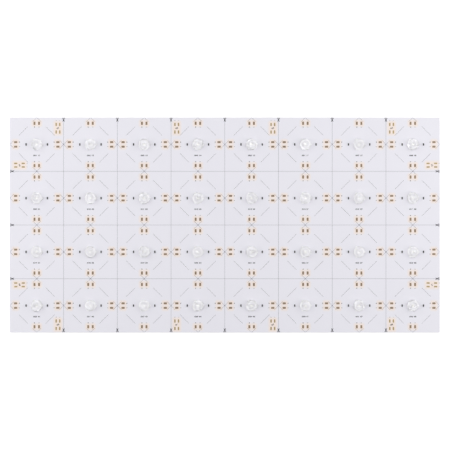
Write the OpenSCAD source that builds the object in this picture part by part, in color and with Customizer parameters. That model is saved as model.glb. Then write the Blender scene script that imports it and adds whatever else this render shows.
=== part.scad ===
// Flexible LED sheet: a white flexible circuit of square modules that can be cut apart.
// Each module carries one LED under a diffusing lens, two chip resistors and four pairs of solder pads.
// Origin: centre of the underside. +X runs along the sheet, +Y across it, +Z out of the lens side.

/* [Sheet] */
// Modules along the sheet
columns = 8; // [4:2:8]
// Modules across the sheet
rows = 4; // [2:1:4]
// Side of one module, from cut line to cut line
pitch = 60; // [56:1:66]
// Thickness of the flexible circuit: film, copper and white cover layer
circuit_t = 0.3; // [0.2:0.05:0.5]
// Thickness of the adhesive tape on the back
tape_t = 0.15; // [0.1:0.05:0.3]
// Thickness of the release liner under the tape
liner_t = 0.1; // [0.05:0.05:0.2]
// How far the tape and liner stay inside the sheet's edge
tape_inset = 1; // [0.5:0.5:3]

/* [Lens] */
// Diameter of the lens's base flange
flange_d = 12.6; // [12.4:0.1:14]
// Thickness of the base flange
flange_t = 0.8; // [0.6:0.1:1]
// Height of the feet that hold the lens off the sheet
foot_h = 0.5; // [0.3:0.1:0.8]
// Diameter of each foot
foot_d = 1.5; // [1.2:0.1:2]
// Distance of each foot from the lens's axis
foot_circle_r = 5.95; // [5.5:0.05:6.2]
// Diameter of the ear around each foot
ear_d = 2.5; // [2.2:0.1:2.8]
// Radius of the dome's rounded shoulder, which is also the radius of its crest
shoulder_r = 3; // [2.9:0.05:3.05]
// Depth of the dimple below the crest
dimple_depth = 0.9; // [0.6:0.1:1]
// Radius of the hollow over the LED where it opens towards the sheet
hollow_r = 2.5; // [2.4:0.1:2.7]
// Height of the hollow's roof above the sheet
hollow_top = 2.3; // [2:0.1:2.4]

/* [LED package] */
// Side of the LED's square housing
led_w = 3; // [2.8:0.1:3]
// Height of the housing
led_h = 0.65; // [0.5:0.05:0.8]
// Diameter of the phosphor window
phosphor_d = 2.4; // [1.8:0.1:2.5]
// Depth of the phosphor fill
phosphor_t = 0.3; // [0.2:0.05:0.35]

/* [Chip resistors] */
// Length of the chip over its end caps
chip_l = 2.1; // [1.8:0.1:2.4]
// Width of the chip
chip_w = 1.3; // [1:0.05:1.6]
// Height of the chip
chip_h = 0.55; // [0.4:0.05:0.7]
// Length of each metal end cap
cap_l = 0.3; // [0.2:0.05:0.4]
// Length of the solder fillet at each end
fillet_l = 0.3; // [0.1:0.05:0.4]
// Distance of each chip from the lens's axis
chip_offset = 11.9; // [10:0.1:14]

/* [Solder pads] */
// Thickness of the bare copper lands
land_t = 0.05; // [0.03:0.01:0.1]
// Corner radius of the lands
land_corner_r = 0.5; // [0.2:0.1:0.6]
// Width of a module pad
pad_w = 2.1; // [1.6:0.1:2.6]
// Length of a module pad, square to the cut line
pad_l = 3.6; // [3:0.1:4.4]
// Spacing of the two pads of a pair
pad_pitch = 5.08; // [4:0.02:6]
// Distance of a pad's centre from its cut line
pad_inset = 6.4; // [5.5:0.1:7]
// Width of a supply pad
supply_pad_w = 1.5; // [1.3:0.1:1.8]
// Length of a supply pad
supply_pad_l = 3.6; // [3:0.1:4]
// Spacing of a supply footprint's pads across it
supply_pitch_across = 4; // [3.5:0.1:4.4]
// Spacing of a supply footprint's pads along it
supply_pitch_along = 8.4; // [7.5:0.1:9]
// Distance of the top and bottom footprints from their cut line
supply_line_gap = 6.3; // [5.5:0.1:7]
// Distance of the side footprints from their cut line
supply_side_gap = 6.8; // [5.5:0.1:7.5]
// Distance of the top footprints' centres from the top edge
supply_top_inset = 11.9; // [8:0.1:13]
// Distance of the bottom footprints' centres from the bottom edge
supply_bottom_inset = 8.6; // [8:0.1:13]
// Distance of the left footprints' centres from the left edge
supply_left_inset = 10.7; // [8:0.1:12]
// Distance of the right footprints' centres from the right edge
supply_right_inset = 8.7; // [8:0.1:12]

/* [Printed guides] */
// Width of a printed line
line_w = 0.2; // [0.15:0.05:0.5]
// Thickness of the ink
ink_t = 0.03; // [0.02:0.01:0.05]
// Length left free at each end of a cut line for its cut mark
cut_mark_l = 5; // [4:0.5:7]
// Reach of each arm of the crosses between neighbouring pads
cross_reach = 4.6; // [3:0.1:5]

/* [Hidden] */
$fn = 64;
bare_copper = [0.71, 0.51, 0.32];
row_letters = ["a", "b", "c", "d"];
sheet_w = columns * pitch;
sheet_h = rows * pitch;
tape_z = liner_t;
circuit_z = tape_z + tape_t;
top_z = circuit_z + circuit_t;

// Lens heights are counted from the sheet's upper face.
shoulder_z = foot_h + flange_t;
crest_z = shoulder_z + shoulder_r;
dimple_z = crest_z - dimple_depth;
dimple_floor_r = shoulder_r - sqrt(shoulder_r * shoulder_r - pow(dimple_z - shoulder_z, 2));
hollow_h = hollow_top - foot_h;
hollow_sphere_r = (hollow_r * hollow_r + hollow_h * hollow_h) / (2 * hollow_h);

// The diagonal guides run between these two distances from the module's centre lines.
diagonal_near = pitch / 6;
diagonal_far = pitch / 3;

supply_columns_x = [
    module_x(0) + pitch / 2 - supply_line_gap,
    module_x(columns / 2 - 1) - pitch / 2 + supply_line_gap,
    module_x(columns / 2) + pitch / 2 - supply_line_gap,
    module_x(columns - 1) - pitch / 2 + supply_line_gap
];
supply_rows_y = [
    module_y(0) - pitch / 2 + supply_side_gap,
    module_y(rows - 1) + pitch / 2 - supply_side_gap
];

function module_x(column) = (column - (columns - 1) / 2) * pitch;
function module_y(row) = ((rows - 1) / 2 - row) * pitch;
function lens_name(row, column) = str("lens_", row_letters[row], column + 1);
function row_name(group, row) = str(group, "_row_", row_letters[row]);

ROW_GROUPS = ["led_housings", "led_phosphor", "chip_resistors", "resistor_end_caps", "module_pads"];

// Placing

module on_sheet() {
    translate([0, 0, top_z]) children();
}

module at_module(row, column) {
    translate([module_x(column), module_y(row), top_z]) children();
}

module along_row(row) {
    for (column = [0 : columns - 1]) at_module(row, column) children();
}

// Layers of the sheet

module plate(inset, z, thickness) {
    w = sheet_w - 2 * inset;
    h = sheet_h - 2 * inset;
    translate([-w / 2, -h / 2, z]) cube([w, h, thickness]);
}

module flex_circuit() {
    color([0.9, 0.89, 0.92]) plate(0, circuit_z, circuit_t);
}

module adhesive_tape() {
    color([0.85, 0.85, 0.82]) plate(tape_inset, tape_z, tape_t);
}

module release_liner() {
    color([0.86, 0.77, 0.6]) plate(tape_inset, 0, liner_t);
}

// Printed lines

module line_between(p, q) {
    along = q - p;
    translate([p.x, p.y, 0]) rotate(atan2(along.y, along.x)) translate([0, -line_w / 2, 0])
        cube([norm(along), line_w, ink_t]);
}

module cut_lines() {
    half_w = sheet_w / 2 - cut_mark_l;
    half_h = sheet_h / 2 - cut_mark_l;
    for (column = [1 : columns - 1]) {
        x = module_x(column) - pitch / 2;
        line_between([x, -half_h], [x, half_h]);
    }
    for (row = [1 : rows - 1]) {
        y = module_y(row) + pitch / 2;
        line_between([-half_w, y], [half_w, y]);
    }
}

// The two arms of a cross on one side of a cut line that runs along X. They stop just short of the line.
module cross_arms() {
    for (side = [-1, 1])
        line_between([side * line_w, line_w], [side * cross_reach, cross_reach]);
}

module module_guides() {
    for (turn = [0 : 3]) rotate(90 * turn) {
        line_between([diagonal_near, diagonal_far], [diagonal_far, diagonal_near]);
        translate([0, -pitch / 2, 0]) cross_arms();
    }
}

module printed_guides() {
    color([0.45, 0.45, 0.5]) {
        on_sheet() cut_lines();
        for (row = [0 : rows - 1]) along_row(row) module_guides();
    }
}

// Solder pads

module land(l, w) {
    r = land_corner_r;
    linear_extrude(land_t) union() {
        square([l, w - 2 * r], center = true);
        square([l - 2 * r, w], center = true);
        for (x = [-1, 1]) for (y = [-1, 1])
            translate([x * (l / 2 - r), y * (w / 2 - r)]) circle(r);
    }
}

module pad_set() {
    for (turn = [0 : 3]) rotate(90 * turn)
        for (side = [-1, 1])
            translate([pitch / 2 - pad_inset, side * pad_pitch / 2, 0]) land(pad_l, pad_w);
}

module module_pads(row) {
    color(bare_copper) along_row(row) pad_set();
}

// Four pads for the supply wires, long side along X.
module supply_footprint() {
    for (x = [-1, 1]) for (y = [-1, 1])
        translate([x * supply_pitch_along / 2, y * supply_pitch_across / 2, 0])
            land(supply_pad_l, supply_pad_w);
}

module supply_row(y) {
    color(bare_copper) on_sheet()
        for (x = supply_columns_x) translate([x, y, 0]) rotate(90) supply_footprint();
}

module supply_column(x) {
    color(bare_copper) on_sheet()
        for (y = supply_rows_y) translate([x, y, 0]) supply_footprint();
}

// Chip resistors

module chip_pair() {
    for (side = [-1, 1]) translate([side * chip_offset, 0, 0]) children();
}

module chip_body() {
    body_l = chip_l - 2 * cap_l;
    translate([-chip_w / 2, -body_l / 2, 0]) cube([chip_w, body_l, chip_h]);
}

// One metal end with the solder that has run up against it.
module soldered_cap() {
    outer = chip_l / 2;
    rotate([90, 0, 90]) translate([0, 0, -chip_w / 2]) linear_extrude(chip_w) polygon([
        [outer - cap_l, 0],
        [outer + fillet_l, 0],
        [outer + fillet_l / 3, chip_h / 3],
        [outer, chip_h],
        [outer - cap_l, chip_h]
    ]);
}

module chip_resistors(row) {
    color([0.06, 0.06, 0.07]) along_row(row) chip_pair() chip_body();
}

module resistor_end_caps(row) {
    color([0.6, 0.6, 0.6]) along_row(row) chip_pair()
        for (turn = [0, 180]) rotate(turn) soldered_cap();
}

// LED packages

module led_housing() {
    difference() {
        translate([-led_w / 2, -led_w / 2, 0]) cube([led_w, led_w, led_h]);
        translate([0, 0, led_h - phosphor_t]) cylinder(d = phosphor_d, h = led_h);
    }
}

module led_housings(row) {
    color([0.93, 0.93, 0.9]) along_row(row) led_housing();
}

module led_phosphor(row) {
    color([0.95, 0.8, 0.25]) along_row(row)
        translate([0, 0, led_h - phosphor_t]) cylinder(d = phosphor_d, h = phosphor_t);
}

// Lenses

// Half section of the lens: flange, rounded shoulder and dimpled crown.
module lens_section() {
    translate([0, foot_h]) square([flange_d / 2, flange_t]);
    translate([0, foot_h]) square([shoulder_r, dimple_z - foot_h]);
    intersection() {
        translate([shoulder_r, shoulder_z]) circle(shoulder_r);
        translate([dimple_floor_r, shoulder_z]) square([2 * shoulder_r, shoulder_r]);
    }
}

module lens_ear() {
    translate([foot_circle_r, 0, 0]) {
        cylinder(d = foot_d, h = foot_h);
        translate([0, 0, foot_h]) cylinder(d = ear_d, h = flange_t);
    }
}

module lens() {
    color([0.93, 0.93, 0.95]) difference() {
        union() {
            rotate_extrude() lens_section();
            for (turn = [0, 120, 240]) rotate(turn) lens_ear();
        }
        translate([0, 0, hollow_top - hollow_sphere_r]) sphere(hollow_sphere_r);
    }
}

flex_circuit();
adhesive_tape();
release_liner();
printed_guides();
supply_row(sheet_h / 2 - supply_top_inset);  // supply_pads_top
supply_row(-sheet_h / 2 + supply_bottom_inset);  // supply_pads_bottom
supply_column(-sheet_w / 2 + supply_left_inset);  // supply_pads_left
supply_column(sheet_w / 2 - supply_right_inset);  // supply_pads_right
for (row = [0 : rows - 1]) {
    led_housings(row);
    led_phosphor(row);
    chip_resistors(row);
    resistor_end_caps(row);
    module_pads(row);
    for (column = [0 : columns - 1])
        at_module(row, column) lens();
}
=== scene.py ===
# %% [markdown]
# # A flexible LED sheet
# This sheet is one large flexible circuit: copper tracks between two plastic films, with a white
# cover layer on top that throws the light forward. It is divided into square modules that can be
# cut apart. Each module carries one LED under a domed lens, two chip resistors, and bare copper
# pads on all four sides where cut pieces are joined again.
#
# The solids come from the CAD frame at their real size. Blender gives every one of them a finish,
# and adds what is too thin or too fine for CAD: the print, the glue under the lenses and the edges
# of the cover layer round each pad.

# %% Load the frame
import math

import bmesh
import bpy
from mathutils import Matrix, Vector


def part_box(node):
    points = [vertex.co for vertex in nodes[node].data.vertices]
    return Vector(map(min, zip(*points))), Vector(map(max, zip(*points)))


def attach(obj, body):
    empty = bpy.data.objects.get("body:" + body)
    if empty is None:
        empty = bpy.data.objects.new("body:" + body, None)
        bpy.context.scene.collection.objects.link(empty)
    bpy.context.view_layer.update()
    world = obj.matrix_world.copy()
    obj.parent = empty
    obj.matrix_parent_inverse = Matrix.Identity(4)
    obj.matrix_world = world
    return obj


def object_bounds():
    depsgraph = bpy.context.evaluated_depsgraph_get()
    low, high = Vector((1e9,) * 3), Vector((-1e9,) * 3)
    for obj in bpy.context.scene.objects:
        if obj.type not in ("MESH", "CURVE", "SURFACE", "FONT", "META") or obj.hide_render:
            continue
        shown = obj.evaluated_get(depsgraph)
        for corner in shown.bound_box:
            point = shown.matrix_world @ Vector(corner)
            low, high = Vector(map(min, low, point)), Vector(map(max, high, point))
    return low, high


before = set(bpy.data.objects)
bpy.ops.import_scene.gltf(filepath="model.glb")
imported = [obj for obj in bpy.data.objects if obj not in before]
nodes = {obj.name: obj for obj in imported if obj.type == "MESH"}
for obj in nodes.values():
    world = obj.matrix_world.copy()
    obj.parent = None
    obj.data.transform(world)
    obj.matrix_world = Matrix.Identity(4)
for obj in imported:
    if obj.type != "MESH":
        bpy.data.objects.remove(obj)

cad_low, cad_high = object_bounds()
print("CAD box in m:", [round(side, 5) for side in cad_high - cad_low], "with", len(nodes), "nodes")

# %% [markdown]
# ## Where the modules are
# Everything on the sheet repeats from module to module, so the first thing to measure is the grid.
# The sheet's own box and the names of the lenses give it: no number has to be typed twice. Lengths
# are in metres, so a size that a maker would give in millimetres is written as a number times MM.

# %% Measure the grid of modules
MM = 0.001
ROW_LETTERS = sorted({name.removeprefix("lens_")[0] for name in nodes if name.startswith("lens_")})
COLUMNS = sum(name.startswith("lens_a") for name in nodes)
sheet_low, sheet_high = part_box("flex_circuit")
PITCH = (sheet_high.x - sheet_low.x) / COLUMNS
TOP = sheet_high.z
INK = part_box("printed_guides")[1].z - TOP

modules = []
for row in range(len(ROW_LETTERS)):
    for column in range(COLUMNS):
        x = sheet_low.x + (column + 0.5) * PITCH
        y = sheet_high.y - (row + 0.5) * PITCH
        modules.append((row, column, Vector((x, y))))
print(f"{len(modules)} modules of {PITCH / MM:.1f} mm, the print is {INK / MM:.2f} mm thick")

# %% [markdown]
# ## Finding the pads
# Much of the print belongs to the pads, so the pads' places are read from the frame too. A node can
# hold many separate solids. Welding a copy of its mesh and walking from vertex to vertex finds each
# of them, and their boxes are all that is needed.

# %% Find the separate solids of a node
WELD_DISTANCE = 1e-3 * MM


def solids_of(name):
    shape = bmesh.new()
    shape.from_mesh(nodes[name].data)
    bmesh.ops.remove_doubles(shape, verts=shape.verts, dist=WELD_DISTANCE)
    unseen, boxes = set(shape.verts), []
    while unseen:
        found, to_visit = set(), [unseen.pop()]
        while to_visit:
            vertex = to_visit.pop()
            found.add(vertex)
            neighbours = {edge.other_vert(vertex) for edge in vertex.link_edges} & unseen
            unseen -= neighbours
            to_visit.extend(neighbours)
        xs, ys = [v.co.x for v in found], [v.co.y for v in found]
        boxes.append((Vector((min(xs), min(ys))), Vector((max(xs), max(ys)))))
    shape.free()
    return sorted(boxes, key=lambda box: tuple(round(v / MM, 3) for v in box[0]))


module_pads = [box for letter in ROW_LETTERS for box in solids_of(f"module_pads_row_{letter}")]
supply_pads = {side: solids_of(f"supply_pads_{side}") for side in ("top", "bottom", "left", "right")}
print(len(module_pads), "module pads,", sum(map(len, supply_pads.values())), "supply pads")

# %% [markdown]
# Four supply pads make one footprint, where a pair of wires is soldered on. The footprints at the
# top and the bottom stand upright, and those at the two sides lie along X.

# %% Group the supply pads into footprints
PADS_EACH = 4


def footprints_of(side):
    line = 0 if side in ("top", "bottom") else 1
    pads = sorted(supply_pads[side], key=lambda box: box[0][line])
    return [pads[i:i + PADS_EACH] for i in range(0, len(pads), PADS_EACH)]


def middle_of(boxes):
    return sum((low + high for low, high in boxes), Vector((0, 0))) / (2 * len(boxes))


footprints = {side: footprints_of(side) for side in supply_pads}
print(", ".join(f"{len(found)} {side}" for side, found in footprints.items()), "footprints")

# %% [markdown]
# ## Writing shaders as sums
# A finish is a small calculation that runs at every point of a surface: how dark is the copper
# here, how rough is the ink there. In Blender such a calculation is a web of nodes, which is hard
# to read back. Here a `Field` stands for one value on the surface, and Python's own operators on it
# add the Math nodes, so a finish reads as a formula.

# %% A value that Python can calculate with
class Field:
    def __init__(self, web, socket):
        self.web = web
        self.socket = socket

    def maths(self, operation, *operands):
        return self.web.node("ShaderNodeMath", {"operation": operation}, dict(enumerate(operands)))

    def __add__(self, other):
        return self.maths("ADD", self, other)

    def __sub__(self, other):
        return self.maths("SUBTRACT", self, other)

    def __rsub__(self, other):
        return self.maths("SUBTRACT", other, self)

    def __mul__(self, other):
        return self.maths("MULTIPLY", self, other)

    def __abs__(self):
        return self.maths("ABSOLUTE", self)

    def larger(self, other):
        return self.maths("MAXIMUM", self, other)

    def smaller(self, other):
        return self.maths("MINIMUM", self, other)

    def fold(self, length):
        return self.maths("PINGPONG", self, length)

    def root(self):
        return self.maths("SQRT", self)

    __radd__ = __add__
    __rmul__ = __mul__


# %% [markdown]
# Every other node comes from one method. It takes the node's type, its settings, and the values or
# links of its sockets. The few nodes that the finishes use again and again then get a name that
# says what they do here.

# %% A web of nodes, and a finish made with it
class Web:
    def __init__(self, tree):
        self.tree = tree

    def node(self, kind, settings=None, sockets=None, output=0):
        made = self.tree.nodes.new(kind)
        for name, value in (settings or {}).items():
            setattr(made, name, value)
        for key, value in (sockets or {}).items():
            self.plug(self.find(made.inputs, key), value)
        return Field(self, self.find(made.outputs, output))

    def find(self, sockets, key):
        if isinstance(key, int):
            return sockets[key]
        return next(socket for socket in sockets if socket.identifier == key)

    def plug(self, socket, value):
        if isinstance(value, Field):
            self.tree.links.new(value.socket, socket)
        else:
            socket.default_value = value

    def blend(self, first, second, factor):
        sockets = {"Factor_Float": factor, "A_Color": first, "B_Color": second}
        return self.node("ShaderNodeMix", {"data_type": "RGBA"}, sockets, "Result_Color")

    def rise(self, field, low, high):
        sockets = {"Value": field, "From Min": low, "From Max": high}
        return self.node("ShaderNodeMapRange", {"interpolation_type": "SMOOTHSTEP"}, sockets)


class Finish(Web):
    def __init__(self, name, **constants):
        self.material = bpy.data.materials.new(name)
        self.material.use_nodes = True
        super().__init__(self.material.node_tree)
        self.surface = self.tree.nodes["Principled BSDF"]
        for key, value in constants.items():
            self.set(key, value)
        self.place = self.node("ShaderNodeTexCoord", output="Object")

    def set(self, key, value):
        words = {"ior": "IOR", "specular_ior_level": "Specular IOR Level"}
        self.plug(self.surface.inputs[words.get(key, key.replace("_", " ").title())], value)

    def axis(self, letter):
        return self.node("ShaderNodeSeparateXYZ", sockets={"Vector": self.place}, output=letter)

    def noise(self, size, detail=2.0, stretch=None):
        place = self.place
        if stretch:
            place = self.node("ShaderNodeMapping", sockets={"Vector": place, "Scale": stretch})
        sockets = {"Vector": place, "Scale": 1 / size, "Detail": detail}
        return self.node("ShaderNodeTexNoise", sockets=sockets)

    def bump(self, height, depth):
        self.set("normal", self.node("ShaderNodeBump", sockets={"Height": height, "Distance": depth}))


def colour(red, green, blue):
    return (red, green, blue, 1.0)


def dress(finish, *starts):
    names = [name for name in nodes if name.startswith(starts)]
    for name in names:
        nodes[name].data.materials.clear()
        nodes[name].data.materials.append(finish.material)
    print(finish.material.name, "on", len(names), "nodes")


# %% [markdown]
# ## The white cover layer
# The cover layer is a white film, pressed over the copper while hot. It has a satin sheen with the
# faintest orange peel, and a cool white that is never quite even. Under it, the copper stands a few
# hundredths of a millimetre high, so its edges show as soft steps when light rakes across the
# sheet. Round the bare pads it also shines through the film as a faint warm tint. All of that
# repeats in each module, so the shader folds the sheet's coordinates back onto one quarter of one
# module with a ping-pong, and draws the copper there.

# %% Cover layer
GAP_HALF = 0.25 * MM
GAP_EDGE = 0.45 * MM
TRACK_HALF = 1.6 * MM
TRACK_FROM_LENS = 9 * MM
TRACK_EDGE = 0.3 * MM
COPPER_RELIEF = 0.06 * MM


def module_offsets(finish):
    middle = modules[0][2]
    return [(finish.axis("X") - middle.x).fold(PITCH / 2), (finish.axis("Y") - middle.y).fold(PITCH / 2)]


def beyond(offset, middle, half):
    return (abs(offset - middle) - half).larger(0.0)


def distance(first, second):
    return (first * first + second * second).root()


cover = Finish("white_cover_layer", ior=1.5)
across, along = module_offsets(cover)
gap = 1 - cover.rise(abs(across + along - PITCH / 2), GAP_HALF, GAP_HALF + GAP_EDGE)
beside_track = cover.rise(along, TRACK_HALF, TRACK_HALF + TRACK_EDGE)
track = (1 - beside_track) * cover.rise(across, TRACK_FROM_LENS, TRACK_FROM_LENS + TRACK_EDGE)
peel = cover.noise(0.6 * MM, 1.0)
cover.bump(0.012 * peel + 0.4 * track - 0.6 * gap, COPPER_RELIEF)
cover.set("roughness", 0.42 + 0.1 * cover.noise(9 * MM, 3.0))
dress(cover, "flex_circuit")

# %% [markdown]
# The warm tint needs the distance from any point of the sheet to the nearest bare copper. The
# module pads come from the folded coordinates. The supply footprints stand in mirrored places, so
# taking the absolute value of a coordinate folds all of one direction onto a single footprint.

# %% Warm tint where copper shines through
TINT_REACH = 3.9 * MM

pad_low, pad_high = module_pads[0]
pad_out, pad_in = sorted(map(abs, (pad_low + pad_high) / 2 - modules[0][2]), reverse=True)
pad_long, pad_short = sorted((pad_high - pad_low) / 2, reverse=True)
far, near = across.larger(along), across.smaller(along)
from_pad = distance(beyond(far, pad_out, pad_long), beyond(near, pad_in, pad_short))

top, bottom, left, right = (middle_of(found[0]) for found in footprints.values())
half_short = max(high.x - top.x for _, high in footprints["top"][0])
half_long = max(high.y - top.y for _, high in footprints["top"][0])
quarter = (sheet_high.x - sheet_low.x) / 4
x, y = cover.axis("X"), cover.axis("Y")
row_x = beyond(abs(abs(x) - quarter), abs(abs(top.x) - quarter), half_short)
row_y = beyond(abs(y - (top.y + bottom.y) / 2), (top.y - bottom.y) / 2, half_long)
column_x = beyond(abs(x - (left.x + right.x) / 2), (right.x - left.x) / 2, half_long)
column_y = beyond(abs(y), abs(left.y), half_short)
from_copper = from_pad.smaller(distance(row_x, row_y)).smaller(distance(column_x, column_y))

tone = cover.blend(colour(0.775, 0.765, 0.822), colour(0.80, 0.79, 0.852), cover.noise(60 * MM, 3.0))
warm = colour(0.85, 0.745, 0.685)
cover.set("base_color", cover.blend(warm, tone, cover.rise(from_copper, 0.0, TINT_REACH)))
print(f"a footprint reaches {half_short / MM:.2f} by {half_long / MM:.2f} mm from its middle")

# %% [markdown]
# ## Tape and liner
# The back of such a sheet is covered with a clear sticky tape, and the tape with a waxed paper
# liner that is peeled off before use. Paper is told by its fibres: long faint streaks of lighter
# and darker brown, which noise gives when it is stretched along one direction.

# %% Tape and liner
tape = Finish("tape_glue", ior=1.47)
wetting = tape.noise(3 * MM)
tape.set("base_color", tape.blend(colour(0.70, 0.70, 0.65), colour(0.78, 0.78, 0.75), wetting))
tape.set("roughness", 0.35 + 0.2 * wetting)
dress(tape, "adhesive_tape")

liner = Finish("waxed_liner_paper", ior=1.45)
fibre = liner.noise(4 * MM, 6.0, stretch=(1.0, 6.0, 1.0))
paper_tone = liner.blend(colour(0.66, 0.51, 0.30), colour(0.77, 0.64, 0.42), fibre)
pressed = liner.rise(liner.noise(45 * MM, 3.0), 0.35, 0.7)
liner.set("base_color", liner.blend(paper_tone, colour(0.58, 0.44, 0.26), 0.4 * pressed))
liner.set("roughness", 0.3 + 0.25 * fibre)
liner.bump(fibre, 0.02 * MM)
dress(liner, "release_liner")

# %% [markdown]
# ## Ink
# Lines and marks are screen printed: a dark ink that lies on the film as a layer of its own, a
# little thinner in some places than in others. Where the mesh of the screen is narrow, less ink
# gets through, so the fine lines dry greyer than the solid marks. One function makes both inks, and
# only the two shades differ.

# %% Two inks
def make_ink(name, dense, thin):
    finish = Finish(name, ior=1.4)
    patches = finish.rise(finish.noise(0.35 * MM, 3.0), 0.35, 0.75)
    finish.set("base_color", finish.blend(dense, thin, patches))
    finish.set("roughness", 0.55 + 0.25 * patches)
    return finish


line_ink = make_ink("line_ink", colour(0.055, 0.055, 0.065), colour(0.12, 0.12, 0.135))
mark_ink = make_ink("mark_ink", colour(0.020, 0.020, 0.025), colour(0.045, 0.045, 0.052))
dress(line_ink, "printed_guides")

# %% [markdown]
# ## Bare copper
# The pads are copper with only a thin protective skin. Rolled copper shows fine streaks, and it
# tarnishes from gold to brown in blotches. The pads at the modules' sides were heated while the
# sheet was made, and are browner than the supply pads.

# %% Copper
def make_copper(name, bright, tarnished):
    finish = Finish(name, metallic=1.0)
    rolled = finish.noise(0.5 * MM, 4.0, stretch=(1.0, 5.0, 1.0))
    tarnish = finish.rise(finish.noise(1.1 * MM, 3.0), 0.4, 0.75)
    finish.set("base_color", finish.blend(bright, tarnished, tarnish))
    finish.set("roughness", 0.34 + 0.18 * rolled)
    finish.bump(rolled, 0.01 * MM)
    return finish


brown_copper = make_copper("brown_copper", colour(0.232, 0.173, 0.122), colour(0.152, 0.118, 0.092))
gold_copper = make_copper("gold_copper", colour(0.312, 0.242, 0.126), colour(0.222, 0.17, 0.091))
dress(brown_copper, "module_pads")
dress(gold_copper, "supply_pads")

# %% [markdown]
# ## Chip resistors and solder
# A chip resistor is a sliver of white ceramic with a black glaze on top and a tinned cap at each
# end. Solder has run up the caps in a small slope. It sets with a grainy, dull silver skin, here
# coloured near black: painted shade for the dark that the shiny fillets reflect.

# %% Chips and solder
glaze = Finish("black_chip_glaze", ior=1.35)
pits = glaze.noise(0.12 * MM)
glaze.set("base_color", glaze.blend(colour(0.006, 0.006, 0.007), colour(0.016, 0.016, 0.018), pits))
glaze.set("roughness", 0.35 + 0.2 * pits)
glaze.bump(pits, 0.01 * MM)
dress(glaze, "chip_resistors")

solder = Finish("solder_painted_dark", metallic=1.0)
grain = solder.noise(0.15 * MM, 3.0)
# Painted shade: the near-black colour stands for the dark reflected in the solder, not for its own
# silver grey.
solder.set("base_color", solder.blend(colour(0.05, 0.05, 0.054), colour(0.125, 0.125, 0.133), grain))
solder.set("roughness", 0.3 + 0.3 * grain)
solder.bump(grain, 0.02 * MM)
dress(solder, "resistor_end_caps")

# %% [markdown]
# ## LED packages
# Under each lens sits a white plastic cup filled with yellow silicone, which holds the phosphor.
# Both are seen only through the lens, as a faint warm spot.

# %% LEDs
housing = Finish("led_cup_plastic", ior=1.5)
speck = housing.noise(0.2 * MM)
housing.set("base_color", housing.blend(colour(0.80, 0.80, 0.76), colour(0.86, 0.86, 0.83), speck))
housing.set("roughness", 0.4 + 0.1 * speck)
dress(housing, "led_housings")

phosphor = Finish("phosphor_silicone", ior=1.41)
grains = phosphor.noise(0.08 * MM, 3.0)
phosphor.set("base_color", phosphor.blend(colour(0.90, 0.87, 0.70), colour(0.95, 0.93, 0.80), grains))
phosphor.set("roughness", 0.3 + 0.2 * grains)
dress(phosphor, "led_phosphor")

# %% [markdown]
# ## Lenses
# The lenses are moulded from acrylic and frosted, so that a lamp made with the sheet has no bright
# spots. The plastic is faintly milky: about a fifth of the light is scattered back at once, and the
# rest passes through the rough skin. In a shader that is a transmission of about four fifths, with
# a high roughness. Two things change with the distance from the lens's own axis. The frosting is
# finest on the slope of the dimple and on the rim. And the colour holds painted shade: a grey ring
# under the crest for the dark ring round the dimple, and a grey rim for the shadow under the rim.

# %% Lens acrylic
DIMPLE_SLOPE = (0.5 * MM, 1.8 * MM)
DOME_FLANK = (3.2 * MM, 5.2 * MM)
LENS_RIM = (5.6 * MM, 6.2 * MM)

acrylic = Finish("lens_acrylic", ior=1.49, transmission_weight=0.78)
from_axis = distance(*module_offsets(acrylic))
slope = acrylic.rise(from_axis, *DIMPLE_SLOPE)
flank = acrylic.rise(from_axis, *DOME_FLANK)
rim = acrylic.rise(from_axis, *LENS_RIM)
speckle = acrylic.noise(0.4 * MM)
acrylic.set("roughness", 0.72 - 0.18 * slope + 0.14 * flank - 0.2 * rim + 0.04 * speckle)
# Painted shade: the grey ring under the crest stands for the dark ring round the dimple, and the grey
# rim stands for the shadow of the gap under the rim.
painted_crest_shade = acrylic.blend(colour(1.0, 1.0, 1.0), colour(0.845, 0.845, 0.85), slope)
to_flank = acrylic.blend(painted_crest_shade, colour(1.0, 1.0, 0.995), flank)
acrylic.set("base_color", acrylic.blend(to_flank, colour(0.88, 0.88, 0.88), rim))
dress(acrylic, "lens_")

# %% [markdown]
# ## Stamping flat marks
# Print is flat, so each mark is a list of outlines, and stamping it means moving its points to a
# place on the sheet and giving them the thickness of the ink. All marks of one kind become one
# piece, because that is how they are printed.

# %% Outlines and plates
def bar(start, end, width, end_width=None):
    start, end = Vector(start), Vector(end)
    side = (end - start).normalized().orthogonal()
    at_start = side * (width / 2)
    at_end = side * ((end_width or width) / 2)
    return [start + at_start, start - at_start, end - at_end, end + at_end]


def arc(centre, radius, start, sweep, steps):
    angles = [start + sweep * step / steps for step in range(steps + 1)]
    return [Vector(centre) + radius * Vector((math.cos(a), math.sin(a))) for a in angles]


def disc(centre, radius, sides=16):
    return arc(centre, radius, 0.0, 2 * math.pi, sides)[:-1]


def add_plate(shape, outline, low, high):
    area = sum(a.cross(b) for a, b in zip(outline, outline[1:] + outline[:1]))
    if area < 0:
        outline = outline[::-1]
    under = [shape.verts.new((*point, low)) for point in outline]
    over = [shape.verts.new((*point, high)) for point in outline]
    shape.faces.new(over)
    shape.faces.new(under[::-1])
    for i in range(len(outline)):
        shape.faces.new((under[i - 1], under[i], over[i], over[i - 1]))


def stamp(shape, mark, place, turn=0.0, thickness=INK):
    spin = Matrix.Rotation(turn, 2)
    for outline in mark:
        add_plate(shape, [place + spin @ point for point in outline], TOP, TOP + thickness)


def finish_piece(name, shape, finish, smooth=False):
    mesh = bpy.data.meshes.new(name)
    for face in shape.faces:
        face.smooth = smooth
    shape.to_mesh(mesh)
    shape.free()
    mesh.materials.append(finish.material)
    piece = bpy.data.objects.new(name, mesh)
    bpy.context.scene.collection.objects.link(piece)
    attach(piece, "root")
    print(f"{name}: {len(mesh.polygons)} faces")


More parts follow.
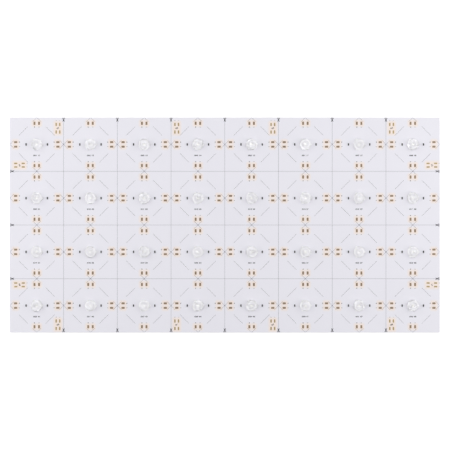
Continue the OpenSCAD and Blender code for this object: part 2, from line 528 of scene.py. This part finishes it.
# %% [markdown]
# ## Windows in the cover layer
# The cover layer is cut away over each pad. Its edge bulges a little where it was pressed down, so
# every pad lies in a low white frame. The frame is one rounded outline drawn at four distances from
# the pad, from its edge up over the bulge and down to the sheet.

# %% Frames round the pads
CORNER = 0.5 * MM
CORNER_STEPS = 5
FRAME_PROFILE = ((0.0, 0.0), (0.02 * MM, 0.07 * MM), (0.16 * MM, 0.07 * MM), (0.34 * MM, 0.0))


def rounded(low, high, grow):
    radius = CORNER + grow
    points = []
    for i, (x, y) in enumerate(((high.x, high.y), (low.x, high.y), (low.x, low.y), (high.x, low.y))):
        inward = Vector((-1 if x == high.x else 1, -1 if y == high.y else 1))
        corner = Vector((x, y)) + CORNER * inward
        points += arc(corner, radius, i * math.pi / 2, math.pi / 2, CORNER_STEPS)
    return points


frames = bmesh.new()
for low, high in module_pads + [box for boxes in supply_pads.values() for box in boxes]:
    loops = []
    for grow, up in FRAME_PROFILE:
        loops.append([frames.verts.new((*point, TOP + up)) for point in rounded(low, high, grow)])
    for inner, outer in zip(loops, loops[1:] + loops[:1]):
        for i in range(len(inner)):
            frames.faces.new((inner[i - 1], outer[i - 1], outer[i], inner[i]))
bmesh.ops.recalc_face_normals(frames, faces=frames.faces)
finish_piece("cover_windows", frames, cover)

# %% [markdown]
# ## Plus and minus
# Each pad has its polarity printed beside it, on the side towards the lens: plus on the left or
# upper pad of a pair, minus on the other. The nearest module's middle tells which pad is which.

# %% Polarity marks
MARK_SIZE = 1.45 * MM
MARK_STROKE = 0.33 * MM
MARK_FROM_PAD = 4.25 * MM


def polarity_mark(positive, size, stroke):
    half = size / 2
    mark = [bar((-half, 0), (half, 0), stroke)]
    if positive:
        mark += [bar((0, side * stroke / 2), (0, side * half), stroke) for side in (1, -1)]
    return mark


def nearest_module(point):
    return min((centre for _, _, centre in modules), key=lambda centre: (centre - point).length)


polarity = bmesh.new()
for low, high in module_pads:
    middle, size = (low + high) / 2, high - low
    from_lens = middle - nearest_module(middle)
    upright = size.y > size.x
    inward = Vector((0, -from_lens.y)) if upright else Vector((-from_lens.x, 0))
    positive = from_lens.x < 0 if upright else from_lens.y > 0
    mark = polarity_mark(positive, MARK_SIZE, MARK_STROKE)
    stamp(polarity, mark, middle + inward.normalized() * MARK_FROM_PAD)
finish_piece("polarity_marks", polarity, mark_ink)

# %% [markdown]
# ## Module numbers
# Below each lens is a line of small print. Here it holds plain numbers: the module's count along
# the sheet, and its row and column. Blender's own built-in font draws them, made bolder by an
# offset of its outline, and the text is turned into a mesh so that all of it can be one piece of
# print.

# %% Module numbers
NUMBER_HEIGHT = 1.4 * MM
NUMBER_BELOW_LENS = 12.4 * MM
NUMBER_PLACES = (-1.85 * MM, 2.5 * MM)
DIGIT_HEIGHT_SHARE = 0.73
DIGIT_WIDENING = 1.4
DIGIT_BOLD = 0.08 * MM
DIGIT_WELD = 1e-4 * MM


def add_number(shape, text, place, height, turn=0.0):
    curve = bpy.data.curves.new("digits", "FONT")
    curve.body = text
    curve.size = height / DIGIT_HEIGHT_SHARE
    curve.align_x = "CENTER"
    curve.align_y = "CENTER"
    curve.offset = DIGIT_BOLD
    curve.extrude = INK / 2
    holder = bpy.data.objects.new("digits", curve)
    mesh = bpy.data.meshes.new_from_object(holder)
    widen = Matrix.Diagonal((DIGIT_WIDENING, 1, 1, 1))
    mesh.transform(Matrix.Translation((*place, TOP + INK / 2)) @ Matrix.Rotation(turn, 4, "Z") @ widen)
    shape.from_mesh(mesh)
    bpy.data.objects.remove(holder)
    bpy.data.curves.remove(curve)
    bpy.data.meshes.remove(mesh)


numbers = bmesh.new()
for count, (row, column, centre) in enumerate(modules, start=1):
    for text, offset in zip((f"{count:03d}", f"{row + 1}{column + 1}"), NUMBER_PLACES):
        place = centre + Vector((offset, -NUMBER_BELOW_LENS))
        add_number(numbers, text, place, NUMBER_HEIGHT)
bmesh.ops.remove_doubles(numbers, verts=numbers.verts, dist=DIGIT_WELD)
finish_piece("module_numbers", numbers, mark_ink)

# %% [markdown]
# ## Marks of the supply footprints
# Where the supply wires are soldered, four pads stand together. Between them is a slanted mark,
# here the footprint's own number, and past one end are a small plus and minus. The footprints at
# the sides are the same drawing, turned by a quarter. At the right edge there is hardly room left
# for the marks, so they are moved in until they fit.

# %% Supply marks
SUPPLY_NUMBER_HEIGHT = 1.5 * MM
SUPPLY_SLANT = math.radians(20)
SUPPLY_TURN = {"top": 0.0, "bottom": 0.0, "left": -math.pi / 2, "right": -math.pi / 2}
SUPPLY_MARK_SIZE = 0.95 * MM
SUPPLY_MARK_STROKE = 0.22 * MM
SUPPLY_MARK_ROOM = 0.57 * MM

supply_marks = bmesh.new()
count = 0
for side, found in footprints.items():
    turn = SUPPLY_TURN[side]
    spin = Matrix.Rotation(turn, 2)
    for four in found:
        centre = middle_of(four)
        count += 1
        add_number(supply_marks, f"{count:02d}", centre, SUPPLY_NUMBER_HEIGHT, turn + SUPPLY_SLANT)
        for low, high in four:
            point = (low + high) / 2
            local = spin.inverted() @ (point - centre)
            if local.y > 0:
                place = point + spin @ Vector((0, MARK_FROM_PAD))
                place.x = min(place.x, sheet_high.x - SUPPLY_MARK_ROOM)
                mark = polarity_mark(local.x < 0, SUPPLY_MARK_SIZE, SUPPLY_MARK_STROKE)
                stamp(supply_marks, mark, place, turn)
finish_piece("supply_marks", supply_marks, mark_ink)

# %% [markdown]
# ## Scissors
# A pair of scissors at each end of a cut line shows where to cut. It is drawn once, with its
# handles at the sheet's edge and its blades open towards the middle: two halves, each a ring, a
# shank and a blade that tapers to its tip, and a round pivot over both. Each half has a thickness
# of its own, so that no two faces lie in the same plane.

# %% Scissors marks
RING_MIDDLE = Vector((0.85, 0.95)) * MM
RING_RADIUS = 0.58 * MM
RING_STROKE = 0.36 * MM
RING_STEPS = 8
SHANK_WIDTH = 0.6 * MM
PIVOT_UP = 2.75 * MM
PIVOT_RADIUS = 0.7 * MM
BLADE_TIP = Vector((1.05, 4.9)) * MM
BLADE_ROOT = 1.1 * MM
BLADE_END = 0.25 * MM
SECOND_HALF_INK = 1.2 * INK
PIVOT_INK = 1.4 * INK


def ring_half(centre, start):
    outer = arc(centre, RING_RADIUS + RING_STROKE / 2, start, math.pi, RING_STEPS)
    inner = arc(centre, RING_RADIUS - RING_STROKE / 2, start, math.pi, RING_STEPS)
    return outer + inner[::-1]


def scissors_half(side):
    ring = Vector((side * RING_MIDDLE.x, RING_MIDDLE.y))
    pivot = Vector((0, PIVOT_UP))
    tip = Vector((-side * BLADE_TIP.x, BLADE_TIP.y))
    shank_start = ring + (pivot - ring).normalized() * RING_RADIUS
    return [
        ring_half(ring, 0.0),
        ring_half(ring, math.pi),
        bar(shank_start, pivot, SHANK_WIDTH),
        bar(pivot, tip, BLADE_ROOT, BLADE_END),
    ]


def stamp_scissors(shape, place, turn):
    stamp(shape, scissors_half(1), place, turn)
    stamp(shape, scissors_half(-1), place, turn, SECOND_HALF_INK)
    stamp(shape, [disc((0, PIVOT_UP), PIVOT_RADIUS)], place, turn, PIVOT_INK)


scissors = bmesh.new()
for column in range(1, COLUMNS):
    x = sheet_low.x + column * PITCH
    stamp_scissors(scissors, Vector((x, sheet_low.y)), 0.0)
    stamp_scissors(scissors, Vector((x, sheet_high.y)), math.pi)
for row in range(1, len(ROW_LETTERS)):
    y = sheet_high.y - row * PITCH
    stamp_scissors(scissors, Vector((sheet_low.x, y)), -math.pi / 2)
    stamp_scissors(scissors, Vector((sheet_high.x, y)), math.pi / 2)
finish_piece("cut_scissors", scissors, mark_ink)

# %% [markdown]
# ## Dots at the crossings
# Between two neighbouring pad pairs, the arms of a cross and the cut line all meet in one point. So
# much ink gets through the screen there that the lines run together into a small dot.

# %% Crossing dots
DOT_RADIUS = 0.48 * MM
DOT_INK = 1.2 * INK

dot = [disc((0, 0), DOT_RADIUS)]
dots = bmesh.new()
for row, column, centre in modules:
    if column > 0:
        stamp(dots, dot, centre - Vector((PITCH / 2, 0)), thickness=DOT_INK)
    if row > 0:
        stamp(dots, dot, centre + Vector((0, PITCH / 2)), thickness=DOT_INK)
finish_piece("crossing_dots", dots, line_ink)

# %% [markdown]
# ## Glue under the lenses
# Each lens stands on three short feet, and each foot stands in a drop of clear glue that has spread
# a little and set. The feet are found in the frame as the lowest points of a lens. A drop is a
# small turned dome: one profile, carried round the foot, and closed at the top inside the foot.

# %% Glue drops
GLUE_REACH = 0.45 * MM
GLUE_HEIGHT = 0.22 * MM
GLUE_SIDES = 20
GLUE_RISES = (0, 0.3, 0.6, 0.85, 1)
FOOT_TURNS = (0, 120, 240)
FOOT_SECTOR = math.cos(math.radians(60))
FOOT_LEVEL = TOP + 0.01 * MM


def feet_of(name, centre):
    low = [v.co.xy for v in nodes[name].data.vertices if v.co.z < FOOT_LEVEL]
    feet = []
    for turn in FOOT_TURNS:
        way = Vector((math.cos(math.radians(turn)), math.sin(math.radians(turn))))
        foot = [point for point in low if (point - centre).normalized().dot(way) > FOOT_SECTOR]
        middle = sum(foot, Vector((0, 0))) / len(foot)
        feet.append((middle, max((point - middle).length for point in foot)))
    return feet


def add_drop(shape, middle, radius):
    rings = []
    for rise in GLUE_RISES:
        out = radius + GLUE_REACH * (1 - rise**2)
        height = TOP + GLUE_HEIGHT * rise
        rings.append([shape.verts.new((*point, height)) for point in disc(middle, out, GLUE_SIDES)])
    for lower, upper in zip(rings, rings[1:]):
        for i in range(GLUE_SIDES):
            shape.faces.new((lower[i - 1], lower[i], upper[i], upper[i - 1]))
    shape.faces.new(rings[-1])
    shape.faces.new(rings[0][::-1])


glue = Finish("clear_glue", ior=1.5)
cloud = glue.noise(0.5 * MM)
glue.set("base_color", glue.blend(colour(0.78, 0.78, 0.82), colour(0.84, 0.84, 0.87), cloud))
glue.set("roughness", 0.15 + 0.15 * cloud)
drops = bmesh.new()
for row, column, centre in modules:
    for middle, radius in feet_of(f"lens_{ROW_LETTERS[row]}{column + 1}", centre):
        add_drop(drops, middle, radius)
finish_piece("lens_glue", drops, glue, smooth=True)

# %% [markdown]
# ## Floor and room
# The sheet lies on a plain white floor. Two soft boxes stand left and right of it and the white
# room fills in from all round, as on a product table. The floor and the room show as white wherever
# they are seen, directly or in a reflection, but they light the sheet no more than a real room
# would. The lamps reach only the floor near the sheet, so its glow grows with the distance and the
# paper stays white to the horizon.

# %% Floor and room
ROOM_LIGHT = 0.243
NEAR_GLOW = 0.25
FAR_GLOW = 0.85
NEAR_FLOOR = 0.25
FAR_FLOOR = 1.3
FLOOR_HALF = 6.0
FLOOR_BELOW = 0.05 * MM


def seen(web):
    rays = [web.node("ShaderNodeLightPath", output=name)
            for name in ("Is Camera Ray", "Is Glossy Ray", "Is Transmission Ray")]
    return rays[0].larger(rays[1]).larger(rays[2])


floor_mesh = bpy.data.meshes.new("floor")
floor_shape = bmesh.new()
bmesh.ops.create_grid(floor_shape, x_segments=1, y_segments=1, size=FLOOR_HALF)
floor_shape.to_mesh(floor_mesh)
floor_shape.free()
floor = bpy.data.objects.new("floor", floor_mesh)
floor.location.z = cad_low.z - FLOOR_BELOW
bpy.context.scene.collection.objects.link(floor)

paper = Finish("floor_paper", base_color=colour(0.9, 0.9, 0.9), roughness=0.9, emission_strength=1.0)
away = paper.rise(distance(paper.axis("X"), paper.axis("Y")), NEAR_FLOOR, FAR_FLOOR)
glow = NEAR_GLOW + (FAR_GLOW - NEAR_GLOW) * away
paper.set("emission_color", paper.blend(colour(0, 0, 0), colour(1, 1, 1), glow * seen(paper)))
floor_mesh.materials.append(paper.material)

world = bpy.data.worlds.new("white_room")
world.use_nodes = True
room = Web(world.node_tree)
walls = room.blend(colour(ROOM_LIGHT, ROOM_LIGHT, ROOM_LIGHT), colour(1, 1, 1), seen(room))
room.plug(world.node_tree.nodes["Background"].inputs["Color"], walls)
bpy.context.scene.world = world

# %% [markdown]
# ## Lamps
# Each soft box is wider than the sheet is long and stands about a metre away, turned towards the
# sheet's middle. Lamps that large make faint, soft shadows and keep the frosted lenses free of
# sparkle.

# %% Soft boxes
SOFT_BOX_WIDTH = 1.6
SOFT_BOX_HEIGHT = 1.1
SOFT_BOX_WATTS = 9.0
SOFT_BOX_PLACES = (Vector((-0.75, 0.15, 0.6)), Vector((0.75, 0.15, 0.6)))

for side, place in zip(("left", "right"), SOFT_BOX_PLACES):
    lamp = bpy.data.lights.new(f"soft_box_{side}", "AREA")
    lamp.energy = SOFT_BOX_WATTS
    lamp.shape = "RECTANGLE"
    lamp.size = SOFT_BOX_WIDTH
    lamp.size_y = SOFT_BOX_HEIGHT
    box_lamp = bpy.data.objects.new(f"soft_box_{side}", lamp)
    box_lamp.location = place
    box_lamp.rotation_euler = (-place).to_track_quat("-Z", "Y").to_euler()
    box_lamp.visible_camera = False
    bpy.context.scene.collection.objects.link(box_lamp)

# %% [markdown]
# ## Camera
# The camera hangs two metres above the sheet, so far that even the lenses near the edge are seen
# almost from straight above. Its focal length follows from the width of the view, which is a little
# more than the sheet's own.

# %% Camera
CAMERA_HEIGHT = 2.0
VIEW_WIDTH = 502.6 * MM
VIEW_MIDDLE_X = 0.25 * MM

camera = bpy.data.cameras.new("camera")
camera.sensor_width = 36.0
camera.lens = camera.sensor_width * CAMERA_HEIGHT / VIEW_WIDTH
eye = bpy.data.objects.new("camera", camera)
eye.location = (VIEW_MIDDLE_X, 0, TOP + CAMERA_HEIGHT)
bpy.context.scene.collection.objects.link(eye)
bpy.context.scene.camera = eye
bpy.context.scene.view_settings.view_transform = "Standard"
print(f"camera lens {camera.lens:.1f} mm")
